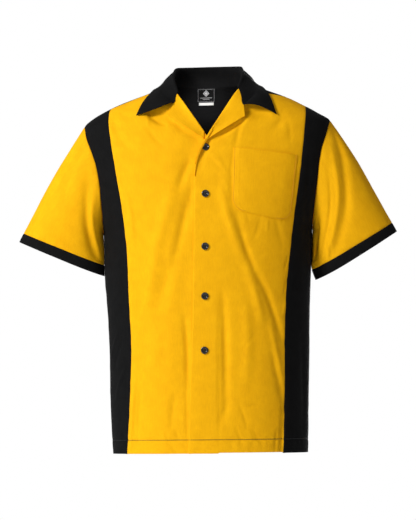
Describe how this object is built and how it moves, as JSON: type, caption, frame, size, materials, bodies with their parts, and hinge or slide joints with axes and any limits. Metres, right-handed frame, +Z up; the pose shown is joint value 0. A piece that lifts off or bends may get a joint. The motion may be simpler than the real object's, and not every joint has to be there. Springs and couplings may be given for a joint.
{
  "type": "bowling shirt",
  "caption": "Short-sleeved bowling shirt with an open camp collar, yellow fronts and sleeves, black side bands, back, collar and cuffs, filled out as worn",
  "frame": {"origin": "midway between the two points where the shoulder seams meet the neck, which is where a wearer or a hanger carries the shirt", "axes": "+Z up, front faces -Y, wearer's left is +X"},
  "size_m": [0.7852, 0.2608, 0.8101],
  "materials": {
    "yellow_cloth": "matte golden-yellow poplin",
    "black_cloth": "matte black poplin",
    "button_plastic": "glossy black plastic",
    "label_cloth": "satin black ribbon",
    "tab_cloth": "white ribbon"
  },
  "bodies": {
    "root": {"back": "black_cloth", "button_1": "button_plastic", "button_2": "button_plastic", "button_3": "button_plastic", "button_4": "button_plastic", "button_5": "button_plastic", "collar": "black_cloth", "cuff_left": "black_cloth", "cuff_right": "black_cloth", "front_left": "yellow_cloth", "front_right": "yellow_cloth", "lapel_left": "yellow_cloth", "lapel_right": "yellow_cloth", "neck_label": "label_cloth", "pocket": "yellow_cloth", "side_panel_left": "black_cloth", "side_panel_right": "black_cloth", "size_tab": "tab_cloth", "sleeve_left": "yellow_cloth", "sleeve_right": "yellow_cloth"}
  },
  "joints": []
}
